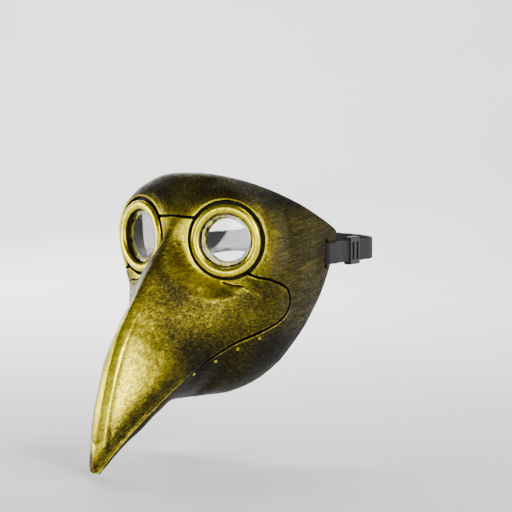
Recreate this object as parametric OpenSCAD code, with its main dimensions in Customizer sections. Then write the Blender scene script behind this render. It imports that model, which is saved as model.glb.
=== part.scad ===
// Plague doctor mask: a moulded face shell with a lapped beak panel, two goggles, foam pads and an elastic
// strap. Millimetres. +Z is up, the beak points to -Y, +X is the wearer's left. The origin is on the
// middle plane, midway between the two ear tabs.

/* [Face shell] */
// Wall thickness of the moulded shell
shell_t = 3.3; // [2.4:0.1:4.5]
// Half width at the ear tabs
ear_w = 76; // [70:0.5:84]
// How far the ear tabs reach back from the forehead edge
ear_reach = 94; // [70:1:105]
// Radius of each breathing hole
vent_r = 1.1; // [0.6:0.1:2]
// Breathing holes on each side
vent_count = 4; // [2:1:6]

/* [Beak panel] */
// Wall thickness of the panel, which is how far it stands proud of the face shell
panel_t = 1.8; // [1.2:0.1:3.5]
// Width of the hidden lap under the panel's edge
lap_w = 8; // [5:0.5:14]
// Radius of the rolled lip along the panel's edge
lip_r = 1.3; // [0.6:0.1:2]

/* [Goggles] */
// Half the distance between the goggle centres
goggle_x = 43; // [38:0.5:48]
// Goggle centres forward of the ear tabs
goggle_y = 100; // [90:1:110]
// Height of the goggle centres
goggle_z = 4; // [-4:0.5:12]
// Outward turn of each goggle, in degrees
goggle_turn = 19; // [10:0.5:26]
// Outer radius of the rim
rim_r = 30; // [26:0.5:34]
// Outer radius of the rim's barrel
barrel_r = 26.2; // [24:0.1:28]
// Radius of the lens disc
lens_r = 22.3; // [18:0.1:24]
// Radius of the see-through opening
sight_r = 17.6; // [14:0.1:20]
// Lens thickness
lens_t = 2.2; // [1.5:0.1:4]

/* [Strap] */
// Width of the elastic webbing
strap_w = 18; // [12:1:25]
// Thickness of the webbing
strap_t = 1.6; // [1:0.1:2.5]
// Height of the middle of the strap
strap_z = -12; // [-20:1:0]
// Slot centre, along Y
slot_y = -3; // [-8:0.5:0]
// Width of the slot
slot_w = 5.6; // [4:0.1:8]
// Height of the slot
slot_h = 27; // [20:0.5:32]
// Where the strap goes round the back of the head
strap_back = 105; // [90:1:120]
// Middle of the keeper on the doubled run
keeper_y = 40; // [32:1:50]

/* [Pads] */
// Foam pad thickness
pad_t = 8; // [4:0.5:14]

/* [Hidden] */
$fn = 64;
gap = 0.05;
rings = 28;
around = 44;

// Sections of the outer surface, from the back edge to the tip of the beak. Each one has its top point
// (y, z), bottom point (y, z), half width, height of the widest line as a share, fullness above and below
// that line, how far the sides sweep back, and the bow of the sweep above and below.
stations = [
  [ -88,   58,  -62, -126, ear_w, 0.65, 2.4, 2.7, ear_reach, 1.05, 1.35],
  [ -94,   56,  -74, -128, 78, 0.64, 2.5, 2.5, 65, 1.5, 1.6],
  [ -99,   51,  -86, -128, 76, 0.63, 2.4, 2.3, 38, 1.8, 1.8],
  [-104,   42,  -98, -128, 69, 0.62, 2.3, 2.1, 20, 2.0, 2.0],
  [-110,   28, -111, -128, 56, 0.58, 2.1, 1.9, 12, 2.0, 2.0],
  [-126,    2, -127, -128, 41, 0.46, 1.7, 2.0,  6, 2.0, 2.0],
  [-157,  -32, -141, -130, 33, 0.38, 1.3, 2.1,  3, 2.0, 2.0],
  [-189,  -72, -156, -137, 27, 0.36, 1.4, 2.2,  1, 2.0, 2.0],
  [-205, -108, -173, -147, 21, 0.36, 1.5, 2.2,  0, 2.0, 2.0],
  [-215, -142, -194, -160, 13, 0.38, 1.7, 2.1,  0, 2.0, 2.0],
  [-220, -169, -213, -176,  4, 0.45, 2.0, 2.0,  0, 2.0, 2.0]];
last = len(stations) - 1;

// Edge of the beak panel in side view (y, z): tip, lower edge, cheek lobe, underside of the goggle, bridge.
seam = [[-222, -184], [-213, -168], [-203, -155], [-186, -138], [-167, -123], [-148, -110], [-133, -100],
  [-116, -90], [-101, -81], [-88, -74], [-74, -68], [-64, -63], [-57, -56], [-55, -46], [-59, -38],
  [-67, -33], [-80, -28], [-93, -24], [-96, -10], [-97, 8], [-98, 21], [-106, 22], [-125, 23]];

// Catmull-Rom curve through rows of numbers.
function row(p, i) = i < 0 ? 2 * p[0] - p[1] : i > len(p) - 1 ? 2 * p[len(p) - 1] - p[len(p) - 2] : p[i];
function curve(p, t) = let (i = min(max(floor(t), 0), len(p) - 2), f = t - i,
    a = row(p, i - 1), b = row(p, i), c = row(p, i + 1), d = row(p, i + 2))
  0.5 * (2 * b + (c - a) * f + (2 * a - 5 * b + 4 * c - d) * f * f + (3 * b - a - 3 * c + d) * f * f * f);

// Goggle plane, mirrored by the sign of s.
function g_axis(s) = [s * sin(goggle_turn), -cos(goggle_turn), 0];
function g_pos(s) = [s * goggle_x, -goggle_y, goggle_z];
function ease(v) = let (u = min(max(v, 0), 1)) u * u * (3 - 2 * u);
function flatten(p) = let (s = p[0] < 0 ? -1 : 1, n = g_axis(s), d = p - g_pos(s), ax = d * n,
    rad = norm(d - ax * n)) abs(ax) > 30 ? p : p - n * ax * ease((50 - rad) / 17);

// Point of the outer surface at station t and angle a: 0 is the left side, 90 the top, -90 the bottom.
function surf(t, a) = let (q = curve(stations, t), c = cos(a), s = sin(a),
    dy = q[0] - q[2], dz = q[1] - q[3], tall = norm([dy, dz]), e = s > 0 ? q[6] : q[7],
    h = sign(s) * pow(abs(s), 2 / e), up = tall * (q[5] + (s > 0 ? 1 - q[5] : q[5]) * h),
    back = q[8] * (1 - pow(abs(h), s > 0 ? q[9] : q[10])),
    x = q[4] * sign(c) * pow(abs(c), 2 / e))
  flatten([x, q[2] + (dy * up + dz * back) / tall, q[3] + (dz * up - dy * back) / tall]);
// The same point moved out along the surface normal by d.
function off(t, a, d) = let (u = min(t, last - 0.02), p = surf(t, a),
    n = cross(surf(u, a + 1) - surf(u, a - 1), surf(u + 0.02, a) - surf(max(u - 0.02, 0), a)))
  d == 0 ? p : p + n * d / norm(n);

// Closed skin between offsets d0 (inner) and d1 (outer), open at the back edge. The inner wall can leave
// out the last few rings, which makes the tip solid.
module skin(d0, d1, nt, na, solid_rings) {
  ni = nt - solid_rings;
  n = nt * na;
  function cap(t, d) = let (q = curve(stations, t))
    [0, (q[0] + q[2]) / 2 - 0.4 * d, (q[1] + q[3]) / 2 - 0.8 * d];
  pts = concat(
    [for (i = [0 : nt - 1]) for (j = [0 : na - 1]) off(last * i / nt, 360 * j / na - 90, d1)],
    [for (i = [0 : ni - 1]) for (j = [0 : na - 1]) off(last * i / nt, 360 * j / na - 90, d0)],
    [cap(last, d1), solid_rings > 0 ? cap(last * (ni - 0.6) / nt, 0) : cap(last, d0)]);
  m = len(pts);
  polyhedron(pts, concat(
    [for (i = [0 : nt - 2]) for (j = [0 : na - 1]) let (k = (j + 1) % na)
      each [[i * na + j, (i + 1) * na + j, (i + 1) * na + k], [i * na + j, (i + 1) * na + k, i * na + k]]],
    [for (i = [0 : ni - 2]) for (j = [0 : na - 1]) let (k = (j + 1) % na)
      each [[n + i * na + j, n + (i + 1) * na + k, n + (i + 1) * na + j],
        [n + i * na + j, n + i * na + k, n + (i + 1) * na + k]]],
    [for (j = [0 : na - 1]) let (k = (j + 1) % na) each [[j, k, n + k], [j, n + k, n + j]]],
    [for (j = [0 : na - 1]) let (k = (j + 1) % na) [(nt - 1) * na + j, m - 2, (nt - 1) * na + k]],
    [for (j = [0 : na - 1]) let (k = (j + 1) % na) [n + (ni - 1) * na + j, n + (ni - 1) * na + k, m - 1]]));
}

// Pad that follows the inside of the skin: stations t0 to t1, angles a0 to a1, offsets d0 (inner) to d1.
module pad(t0, t1, a0, a1, d0, d1, nt, na) {
  m = (nt + 1) * (na + 1);
  function edge(u, v) = ease(6 * min(u, 1 - u, v, 1 - v) + 0.35);
  pts = [for (k = [0, 1]) for (i = [0 : nt]) for (j = [0 : na]) let (u = i / nt, v = j / na)
    off(t0 + (t1 - t0) * u, a0 + (a1 - a0) * v, k == 0 ? d1 : d1 + (d0 - d1) * edge(u, v))];
  function id(k, i, j) = k * m + i * (na + 1) + j;
  polyhedron(pts, concat(
    [for (i = [0 : nt - 1]) for (j = [0 : na - 1])
      each [[id(0, i, j), id(0, i + 1, j), id(0, i + 1, j + 1)],
        [id(0, i, j), id(0, i + 1, j + 1), id(0, i, j + 1)],
        [id(1, i, j), id(1, i + 1, j + 1), id(1, i + 1, j)],
        [id(1, i, j), id(1, i, j + 1), id(1, i + 1, j + 1)]]],
    [for (i = [0 : nt - 1])
      each [[id(0, i, 0), id(1, i, 0), id(1, i + 1, 0)],
        [id(0, i, 0), id(1, i + 1, 0), id(0, i + 1, 0)],
        [id(0, i, na), id(1, i + 1, na), id(1, i, na)],
        [id(0, i, na), id(0, i + 1, na), id(1, i + 1, na)]]],
    [for (j = [0 : na - 1])
      each [[id(0, 0, j), id(1, 0, j + 1), id(1, 0, j)],
        [id(0, 0, j), id(0, 0, j + 1), id(1, 0, j + 1)],
        [id(0, nt, j), id(1, nt, j), id(1, nt, j + 1)],
        [id(0, nt, j), id(1, nt, j + 1), id(0, nt, j + 1)]]]));
}

// Everything forward of the seam, as a prism across the mask; grow shrinks or widens the outline.
seam_line = [for (i = [0 : 3 * (len(seam) - 1)]) curve(seam, i / 3)];
module seam_prism(grow = 0) {
  rotate([90, 0, 90]) linear_extrude(240, center = true) offset(delta = grow)
    polygon(concat(seam_line, [[-260, 23], [-260, -184]]));
}

module at_goggle(s) translate(g_pos(s)) rotate([0, 0, s * goggle_turn]) rotate([90, 0, 0]) children();
module goggle_cut(r, z0, z1) for (s = [-1, 1])
  at_goggle(s) translate([0, 0, z0]) cylinder(r = r, h = z1 - z0, $fn = 48);

// Rounded rod through points, and points that follow a line of places on the surface at offset d.
function along(places, d) = [for (i = [0 : 3 * (len(places) - 1)])
  let (p = curve(places, i / 3)) off(p[0], p[1], d)];
module bead(pts, r, n) for (i = [0 : len(pts) - 2]) hull() {
  translate(pts[i]) sphere(r, $fn = n);
  translate(pts[i + 1]) sphere(r, $fn = n);
}
module both_sides() for (s = [0, 1]) mirror([s, 0, 0]) children();

// Places on the surface as station and angle: the crease under each goggle, the breathing holes, and the
// panel's rolled lip from the goggle round the cheek lobe to the tip.
crease = [[4.3, 11], [4.2, 8], [3.95, 2], [3.7, -4], [3.3, -8]];
vents = [[2.75, -30.5], [3.55, -35], [4.45, -35], [5.4, -30], [6.2, -24], [6.9, -20]];
lip = [[3.4, 0.5], [2.9, -4], [2.4, -8], [2.1, -11], [1.95, -14.5], [1.95, -19], [2.15, -22],
  [2.55, -24.5], [3.25, -27], [4.05, -28.5], [4.75, -25], [5.55, -20], [6.3, -17], [7.2, -12], [8.15, -2],
  [9.05, 5], [9.6, 9]];

module face_shell() color("#8a7a2a") difference() {
  union() {
    difference() {
      skin(-shell_t, 0, rings, around, 2);
      difference() {
        seam_prism(-lap_w);
        goggle_cut(rim_r + 7, -40, 40);
      }
    }
    goggle_cut(rim_r + 1.6, -shell_t + 0.1, -0.2);
  }
  goggle_cut(barrel_r + 0.1, -20, 20);
  goggle_cut(rim_r + 2.4, -gap, 12);
  goggle_cut(rim_r + 0.6, -14, -shell_t - 0.03);
  both_sides() {
    translate([0, slot_y, strap_z]) hull() for (u = [-1, 1])
      translate([60, 0, u * (slot_h - slot_w) / 2]) rotate([0, 90, 0])
        cylinder(r = slot_w / 2, h = 40, $fn = 24);
    for (i = [0 : vent_count - 1])
      bead([off(vents[i][0], vents[i][1], 2), off(vents[i][0], vents[i][1], -6)], vent_r, 8);
  }
}

module beak_panel() color("#c9b23c") difference() {
  union() {
    intersection() {
      skin(gap, gap + panel_t, rings, around, 0);
      seam_prism();
    }
    both_sides() {
      bead(along(lip, panel_t + 0.3), lip_r, 6);
      bead(along(crease, panel_t + 0.1), 1.1, 6);
    }
  }
  goggle_cut(rim_r + 2.4, -30, 30);
}

// The bead turns in over the gasket, and the lens sits just inside its lip.
sleeve_r = barrel_r - 1.6;
eye_r = lens_r + 0.15;
module goggle_rim() color("#e0cc50") rotate_extrude() polygon(concat(
  [[sleeve_r, -9], [barrel_r, -9], [barrel_r, 0], [rim_r, 0]],
  [for (a = [0 : 10 : 180]) [(rim_r + eye_r) / 2 + (rim_r - eye_r) / 2 * cos(a), 1.6 + 2.6 * sin(a)]],
  [[eye_r, -0.7], [sleeve_r, -0.7]]));
module lens() color("#dfe6ea", 0.4) translate([0, 0, -2.55]) cylinder(r = lens_r, h = lens_t);
module lens_gasket() color("#1b1a16") rotate_extrude() polygon([[lens_r + gap, -2.55],
  [sleeve_r - gap, -2.55], [sleeve_r - gap, -1.2], [lens_r + gap, -0.9]]);
module lens_seat() color("#b09a30") rotate_extrude() polygon([[sight_r, -7], [sleeve_r - gap, -7],
  [sleeve_r - gap, -2.6], [sight_r + 0.8, -2.6], [sight_r, -3.4]]);
module goggle_nut() color("#3a3312") difference() {
  rotate_extrude() polygon([[barrel_r + gap, -8.5], [rim_r - 0.6, -8.5], [rim_r, -7.9],
    [rim_r, -shell_t - gap], [barrel_r + gap, -shell_t - gap]]);
  for (i = [0 : 7]) rotate([0, 0, 45 * i]) translate([rim_r + 0.6, 0, -9]) cylinder(r = 2, h = 3.4);
}

module pad_node(t0, t1, a0, a1, nt, na) color("#2c2b29")
  pad(t0, t1, a0, a1, -shell_t - 0.5 - pad_t, -shell_t - 0.5, nt, na);

// Webbing in plan, on the left: up the outside of the tab, in through the slot, back down the inside.
run_x = 75.4;
layer = strap_t + 0.25;
outer_run = [[run_x, 62], [run_x, 26], [77.6, 15], [78.5, 9], [78.6, 0]];
slot_turn = [[78, slot_y + 0.9], [77.2, slot_y], [72.8, slot_y], [71.9, slot_y + 0.9]];
function inner_run(end) = [[71.3, 0], [71.2, 12], [71.8, 17], [run_x - layer, 26], [run_x - layer, end]];
function webbing(end) = concat(outer_run, slot_turn, inner_run(end));
nape = [for (a = [0 : 6 : 90]) [run_x * cos(a), 62 + (strap_back - 62) * sin(a)]];
module stroke(pts) for (i = [0 : len(pts) - 2]) hull() {
  translate(pts[i]) circle(strap_t / 2, $fn = 12);
  translate(pts[i + 1]) circle(strap_t / 2, $fn = 12);
}
module strap_band() color("#262626") translate([0, 0, strap_z - strap_w / 2]) linear_extrude(strap_w) {
  stroke(webbing(62));
  mirror([1, 0, 0]) stroke(webbing(42));
  both_sides() stroke(nape);
}
module strap_keeper() color("#151515") translate([run_x - layer / 2, keeper_y, strap_z]) difference() {
  rotate([90, 0, 0]) linear_extrude(14, center = true) hull() for (u = [-1, 1]) for (v = [-1, 1])
    translate([2.2 * u, (strap_w / 2 + 1.4) * v]) circle(1.4, $fn = 24);
  cube([layer + strap_t + 0.7, 20, strap_w + 0.8], center = true);
  for (v = [-1, 1]) translate([5, 3.2 * v, 0]) cube([8, 3.4, strap_w - 3], center = true);
}
module strap_stitching() color("#5a5a55") translate([-run_x + layer / 2, 34, strap_z])
  for (s = [-1, 1]) translate([s * (layer / 2 + strap_t / 2 + gap + 0.2), 0, 0]) {
    for (v = [-1, 1]) translate([0, 5 * v, 0]) cube([0.4, 0.6, 13], center = true);
    for (v = [-1, 1]) translate([0, 0, 6.2 * v]) cube([0.4, 10.6, 0.6], center = true);
    for (v = [-1, 1]) rotate([51 * v, 0, 0]) cube([0.4, 0.6, 15.6], center = true);
  }

face_shell();
beak_panel();
at_goggle(1) goggle_rim();  // goggle_rim_left
at_goggle(-1) goggle_rim();  // goggle_rim_right
at_goggle(1) lens();  // lens_left
at_goggle(-1) lens();  // lens_right
at_goggle(1) lens_gasket();  // lens_gasket_left
at_goggle(-1) lens_gasket();  // lens_gasket_right
at_goggle(1) lens_seat();  // lens_seat_left
at_goggle(-1) lens_seat();  // lens_seat_right
at_goggle(1) goggle_nut();  // goggle_nut_left
at_goggle(-1) goggle_nut();  // goggle_nut_right
pad_node(0.4, 2.7, 60, 120, 6, 12);  // forehead_pad
pad_node(0.9, 2.6, -42, -12, 6, 8);  // cheek_pad_left
mirror([1, 0, 0]) pad_node(0.9, 2.6, -42, -12, 6, 8);  // cheek_pad_right
pad_node(0.5, 2.6, -112, -68, 6, 10);  // chin_pad
strap_band();
strap_keeper();
strap_stitching();
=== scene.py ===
from math import cos, hypot, pi, radians, sin, sqrt

import bpy
import numpy as np
from mathutils import Matrix, Vector


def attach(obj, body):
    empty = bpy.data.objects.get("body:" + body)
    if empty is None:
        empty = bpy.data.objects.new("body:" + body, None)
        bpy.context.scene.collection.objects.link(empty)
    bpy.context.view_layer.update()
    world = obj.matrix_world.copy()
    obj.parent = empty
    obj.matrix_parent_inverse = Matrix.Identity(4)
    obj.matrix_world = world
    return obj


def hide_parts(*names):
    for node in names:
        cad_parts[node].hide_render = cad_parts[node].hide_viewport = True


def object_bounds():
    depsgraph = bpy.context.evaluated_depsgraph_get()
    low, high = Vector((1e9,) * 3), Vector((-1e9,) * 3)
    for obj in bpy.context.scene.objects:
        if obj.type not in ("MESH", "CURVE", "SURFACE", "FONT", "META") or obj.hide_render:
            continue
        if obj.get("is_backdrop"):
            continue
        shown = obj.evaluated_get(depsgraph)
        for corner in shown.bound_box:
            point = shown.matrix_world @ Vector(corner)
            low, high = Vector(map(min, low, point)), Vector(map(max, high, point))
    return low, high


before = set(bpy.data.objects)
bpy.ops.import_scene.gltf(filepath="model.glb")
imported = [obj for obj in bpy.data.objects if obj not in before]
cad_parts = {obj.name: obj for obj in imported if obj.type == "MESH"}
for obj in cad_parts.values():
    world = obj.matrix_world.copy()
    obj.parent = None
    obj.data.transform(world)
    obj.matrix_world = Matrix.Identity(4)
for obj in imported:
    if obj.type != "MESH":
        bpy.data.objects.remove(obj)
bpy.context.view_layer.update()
MM = 0.001
norm = np.linalg.norm

# Sections of the mask's outer surface as in the CAD, in millimetres, from the back edge to the tip: y and z
# of the top and bottom, half width, share of the height where it is widest, roundness above and below that,
# how far the widest part lies back, and how sharply above and below.
STATIONS = np.array([
    [-88, 58, -62, -126, 76, 0.65, 2.4, 2.7, 94, 1.05, 1.35],
    [-94, 56, -74, -128, 78, 0.64, 2.5, 2.5, 65, 1.5, 1.6],
    [-99, 51, -86, -128, 76, 0.63, 2.4, 2.3, 38, 1.8, 1.8],
    [-104, 42, -98, -128, 69, 0.62, 2.3, 2.1, 20, 2.0, 2.0],
    [-110, 28, -111, -128, 56, 0.58, 2.1, 1.9, 12, 2.0, 2.0],
    [-126, 2, -127, -128, 41, 0.46, 1.7, 2.0, 6, 2.0, 2.0],
    [-157, -32, -141, -130, 33, 0.38, 1.3, 2.1, 3, 2.0, 2.0],
    [-189, -72, -156, -137, 27, 0.36, 1.4, 2.2, 1, 2.0, 2.0],
    [-205, -108, -173, -147, 21, 0.36, 1.5, 2.2, 0, 2.0, 2.0],
    [-215, -142, -194, -160, 13, 0.38, 1.7, 2.1, 0, 2.0, 2.0],
    [-220, -169, -213, -176, 4, 0.45, 2.0, 2.0, 0, 2.0, 2.0]], float)
LAST = len(STATIONS) - 1
# How far the round tip stands beyond the last section, and the extra rows round it.
TIP = [0, -1.4, -3.4]
TIP_ROWS = np.array([0.15, 0.3, 0.45, 0.6, 0.75, 0.87, 0.95, 0.995])
# The beak panel's outline in side view, y and z.
SEAM = np.array([
    [-222, -184], [-213, -168], [-203, -155], [-186, -138], [-167, -123], [-148, -110], [-133, -100],
    [-116, -90], [-101, -81], [-88, -74], [-74, -68], [-64, -63], [-57, -56], [-55, -46], [-59, -38],
    [-67, -33], [-80, -28], [-93, -24], [-96, -10], [-97, 8], [-98, 21], [-106, 22], [-125, 23]], float)
# Station and angle in degrees along the cheek's crease and of the breathing holes.
CREASE = [[4.55, 21], [4.4, 14.6], [4.2, 8], [3.95, 2], [3.7, -3], [3.3, -8]]
VENTS = [[2.75, -30.5], [3.55, -35], [4.45, -35], [5.4, -30]]
# The left goggle's centre on the face, its turn outwards, and the radii of its parts.
GOGGLE = np.array([43.0, -100.0, 4.0])
TURN = radians(19)
RIM_R, BARREL_R, SLEEVE_R, LENS_R, SIGHT_R = 30.0, 26.2, 24.6, 22.3, 17.6
EYE_R = LENS_R + 0.15
# The flat round each goggle: its radius, how much of that blends in, and its reach.
FLAT_R, FLAT_BLEND, FLAT_REACH = 50, 17, 30
SHELL_T, PANEL_T = 3.3, 1.8
VENT_R = 0.85
SLOT_Y, SLOT_W, SLOT_H, STRAP_Z = -3.0, 5.6, 27.0, -12.0
# The groove runs from the shell's edge to the panel's; both are measured from the seam, positive inwards.
SHELL_EDGE, PANEL_EDGE = -1.05, 0.4
SHELL_RING, PANEL_RING = RIM_R + 2.6, RIM_R + 2.4
# The shell's edge carries on under its neighbours: shares of the way, depths, and how far it goes, which
# is less at the narrow tip and least at a hole.
LAP_SHARES = [0.03, 0.06, 0.085, 0.11, 0.2, 0.45, 1.0]
LAP_DROPS = [0.15, 0.6, 1.4, 2.5, 2.7, 2.3, 2.2]
LAP, TIP_LAP, HOLE_LAP, TIP_BELOW = 6.3, 1.6, 0.35, -150
# The panel's round edge, its width and the shares of it that get points, and the panel's lift.
ROUND_W, ROUND_SHARES, PANEL_LIFT = 1.2, [0.3, 0.55, 0.75, 0.9, 0.98, 1.0], 0.05
# The grid's points along and around the mask, and the radius of the rounded back edge.
GRID_ROWS, GRID_AROUND, SOFT_EDGE = 420, 560, 0.9


# ---- the moulded surface

def curve(rows, t):
    """Catmull-Rom curve through the rows."""
    rows = np.asarray(rows, float)
    n = len(rows)
    t = np.atleast_1d(t)
    i = np.clip(np.floor(t).astype(int), 0, n - 2)
    f = (t - i)[:, None]
    ext = np.vstack([2 * rows[0] - rows[1], rows, 2 * rows[-1] - rows[-2]])
    a, b, c, d = ext[i], ext[i + 1], ext[i + 2], ext[i + 3]
    square, cube = 2 * a - 5 * b + 4 * c - d, 3 * b - a - 3 * c + d
    return 0.5 * (2 * b + (c - a) * f + square * f**2 + cube * f**3)


def ease(v):
    v = np.clip(v, 0, 1)
    return v * v * (3 - 2 * v)


def bell(v, width):
    return np.exp(-((v / width) ** 2))


def axis_of(side):
    return np.array([side * sin(TURN), -cos(TURN), 0.0])


def to_axis(p, side):
    """Height along a goggle's axis and distance from it."""
    n = axis_of(side)
    d = p - GOGGLE * [side, 1, 1]
    h = d @ n
    return h, norm(d - h[:, None] * n, axis=1)


def section(t):
    """Station values and the unit direction from bottom to top."""
    q = curve(STATIONS, np.clip(t, 0, LAST))
    d = np.stack([q[:, 0] - q[:, 2], q[:, 1] - q[:, 3]], 1)
    tall = norm(d, axis=1)
    return q, d / tall[:, None], tall


def surface(t, a):
    """Outer surface at station t and angle a in radians. Past the last station it closes as a tip."""
    q, n, tall = section(t)
    ty, tz, by, bz, half, mid, et, eb, back, pt, pb = q.T
    c, s = np.cos(a), np.sin(a)
    e = np.where(s > 0, et, eb)
    h = np.sign(s) * np.abs(s) ** (2 / e)
    up = tall * (mid + np.where(s > 0, 1 - mid, mid) * h)
    sweep = back * (1 - np.abs(h) ** np.where(s > 0, pt, pb))
    p = np.stack([half * np.sign(c) * np.abs(c) ** (2 / e),
                  by + n[:, 0] * up + n[:, 1] * sweep, bz + n[:, 1] * up - n[:, 0] * sweep], 1)
    dome = (np.clip(t - LAST, 0, 1) * pi / 2)[:, None]
    centre = np.stack([0 * ty, (ty + by) / 2, (tz + bz) / 2], 1)
    p = np.where((t > LAST)[:, None], centre + (p - centre) * np.cos(dome) + np.sin(dome) * TIP, p)
    for side in (1, -1):
        h, rad = to_axis(p, side)
        w = ease((FLAT_R - rad) / FLAT_BLEND) * (np.abs(h) < FLAT_REACH) * (p[:, 0] * side >= 0)
        p = p - (h * w)[:, None] * axis_of(side)
    return p


def tangents(t, a, step=0.01):
    """How fast the surface moves with the station and with the angle."""
    lo, hi = np.maximum(t - step, 0), np.minimum(t + step, LAST + 0.98)
    dt = (surface(hi, a) - surface(lo, a)) / (hi - lo)[:, None]
    da = (surface(t, a + step) - surface(t, a - step)) / (2 * step)
    return dt, da


def normal(t, a):
    dt, da = tangents(t, a)
    n = np.cross(da, dt)
    return n / np.maximum(norm(n, axis=1), 1e-9)[:, None]


# The outline as short straight pieces, closed well beyond the beak's tip.
BEYOND = [[-260, 23], [-260, -190]]
SEAM_LINE = np.vstack([curve(SEAM, np.linspace(0, len(SEAM) - 1, 6 * len(SEAM))), BEYOND])


def side_distance(p):
    """Distance to the beak panel's outline in side view, positive inside the panel."""
    q = p[:, 1:]
    best = np.full(len(q), 1e9)
    inside = np.zeros(len(q), bool)
    for a, b in zip(SEAM_LINE, np.roll(SEAM_LINE, -1, 0)):
        d = b - a
        k = np.clip(((q - a) @ d) / (d @ d), 0, 1)
        best = np.minimum(best, norm(q - a - k[:, None] * d, axis=1))
        crosses = (a[1] > q[:, 1]) != (b[1] > q[:, 1])
        x = a[0] + (q[:, 1] - a[1]) * d[0] / (d[1] if abs(d[1]) > 1e-9 else 1e-9)
        inside ^= crosses & (q[:, 0] < x)
    return np.where(inside, best, -best)


def along_surface(value, t, a, func, step=0.004):
    """Turns a value that grows unevenly into a distance along the surface, near its zero line."""
    dt, da = tangents(t, a)
    ft = (func(surface(t + step, a)) - func(surface(t - step, a))) / (2 * step)
    fa = (func(surface(t, a + step)) - func(surface(t, a - step))) / (2 * step)
    e, f, g = (dt * dt).sum(1), (dt * da).sum(1), (da * da).sum(1)
    square = (g * ft**2 - 2 * f * ft * fa + e * fa**2) / np.maximum(e * g - f * f, 1e-6)
    return value / np.clip(np.sqrt(np.maximum(square, 0)), 0.45, 1.2)


def ring_distance(p):
    """Distance from the nearer goggle's axis."""
    return np.minimum(to_axis(p, 1)[1], to_axis(p, -1)[1])


def folded(p):
    """The same points with the right side folded onto the left."""
    p = p.copy()
    p[:, 0] = np.abs(p[:, 0])
    return p


def line_distance(p, places, repeat=8):
    """Distance from a line of places, on both sides of the mask, and how far along it, 0 to 1."""
    q = curve(places, np.linspace(0, len(places) - 1, repeat * len(places)))
    line = surface(q[:, 0], np.radians(q[:, 1]))
    m = folded(p)
    best, at = np.full(len(p), 1e9), np.zeros(len(p))
    for i in range(len(line) - 1):
        d = line[i + 1] - line[i]
        u = np.clip(((m - line[i]) @ d) / (d @ d), 0, 1)
        r = norm(m - line[i] - u[:, None] * d, axis=1)
        at = np.where(r < best, (i + u) / (len(line) - 1), at)
        best = np.minimum(best, r)
    return best, at


def ripple(p, size, seed, waves=14):
    """Smooth waviness between about -1 and 1, with waves of about that size in millimetres."""
    r = np.random.default_rng(seed)
    total = 0
    for _ in range(waves):
        d = r.normal(size=3)
        d *= 2 * pi / size / norm(d) * r.uniform(0.6, 1.5)
        total = total + np.sin(p @ d + r.uniform(0, 2 * pi))
    return total / 5


def quarter(v):
    """Height of a quarter circle, 1 where v is 0 and 0 where v is 1."""
    return np.sqrt(np.clip(1 - v**2, 0, 1))


# ---- mesh building

def clip_grid(t, a, field):
    """The part of a grid round the mask where field > 0, cut cleanly at the zero line. Returns the
    station and angle of each point used, and the faces."""
    rows, cols = field.shape
    ids = np.arange(rows * cols).reshape(rows, cols)
    right = np.roll(ids, -1, 1)
    quads = np.stack([ids[:-1], right[:-1], right[1:], ids[1:]], -1).reshape(-1, 4)
    flat_t, flat_a, f = list(t.ravel()), list(a.ravel()), field.ravel()
    keep = (f[quads] > 0).sum(1)
    faces = [tuple(q) for q in quads[keep == 4]]
    cuts = {}

    def cut(i, j):
        key = (min(i, j), max(i, j))
        if key not in cuts:
            i, j = key
            k = np.clip(f[i] / (f[i] - f[j]), 0.02, 0.98)
            aj = flat_a[j] + (2 * pi if flat_a[j] - flat_a[i] < -pi else 0)
            aj -= 2 * pi if aj - flat_a[i] > pi else 0
            cuts[key] = len(flat_t)
            flat_t.append(flat_t[i] + (flat_t[j] - flat_t[i]) * k)
            flat_a.append(flat_a[i] + (aj - flat_a[i]) * k)
        return cuts[key]

    for q in quads[(keep > 0) & (keep < 4)]:
        for tri in ((q[0], q[1], q[2]), (q[0], q[2], q[3])):
            poly = []
            for i, j in zip(tri, (tri[1], tri[2], tri[0])):
                if f[i] > 0:
                    poly.append(i)
                if (f[i] > 0) != (f[j] > 0):
                    poly.append(cut(i, j))
            if len(poly) >= 3:
                faces.append(tuple(poly))
    used = np.unique(np.concatenate([np.asarray(x) for x in faces]))
    order = {int(v): k for k, v in enumerate(used)}
    faces = [tuple(order[int(v)] for v in x) for x in faces]
    return np.array(flat_t)[used], np.array(flat_a)[used], faces


def edge_loops(faces):
    """Directed edges that only one face uses."""
    edges = set()
    for f in faces:
        for i, j in zip(f, f[1:] + f[:1]):
            if (j, i) in edges:
                edges.discard((j, i))
            else:
                edges.add((i, j))
    return edges


def linked(name, data):
    obj = bpy.data.objects.new(name, data)
    bpy.context.scene.collection.objects.link(obj)
    return obj


def make(name, points, faces, body, node, mat, smooth, attributes=None):
    """A piece from points in millimetres. It rides on a body and stands for the node, if one is named.
    Edges sharper than smooth, in degrees, stay sharp."""
    mesh = bpy.data.meshes.new(name)
    mesh.from_pydata((np.asarray(points) * MM).tolist(), [], [tuple(map(int, f)) for f in faces])
    mesh.validate()
    obj = linked(name, mesh)
    for key, values in (attributes or {}).items():
        kind, field = ("FLOAT_VECTOR", "vector") if np.ndim(values) == 2 else ("FLOAT", "value")
        layer = mesh.attributes.new(key, kind, "POINT")
        layer.data.foreach_set(field, np.asarray(values, float).ravel())
    mesh.polygons.foreach_set("use_smooth", [True] * len(mesh.polygons))
    mesh.set_sharp_from_angle(angle=radians(smooth))
    mesh.materials.append(mat)
    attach(obj, body)
    if node:
        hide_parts(node)
    return obj


def thick(outer, inner, faces):
    """Closes an outer and an inner layer with the same faces into one solid wall."""
    n = len(outer)
    walls = [(j, i, i + n, j + n) for i, j in edge_loops(faces)]
    return np.vstack([outer, inner]), list(faces) + [tuple(v + n for v in f[::-1]) for f in faces] + walls


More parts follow.
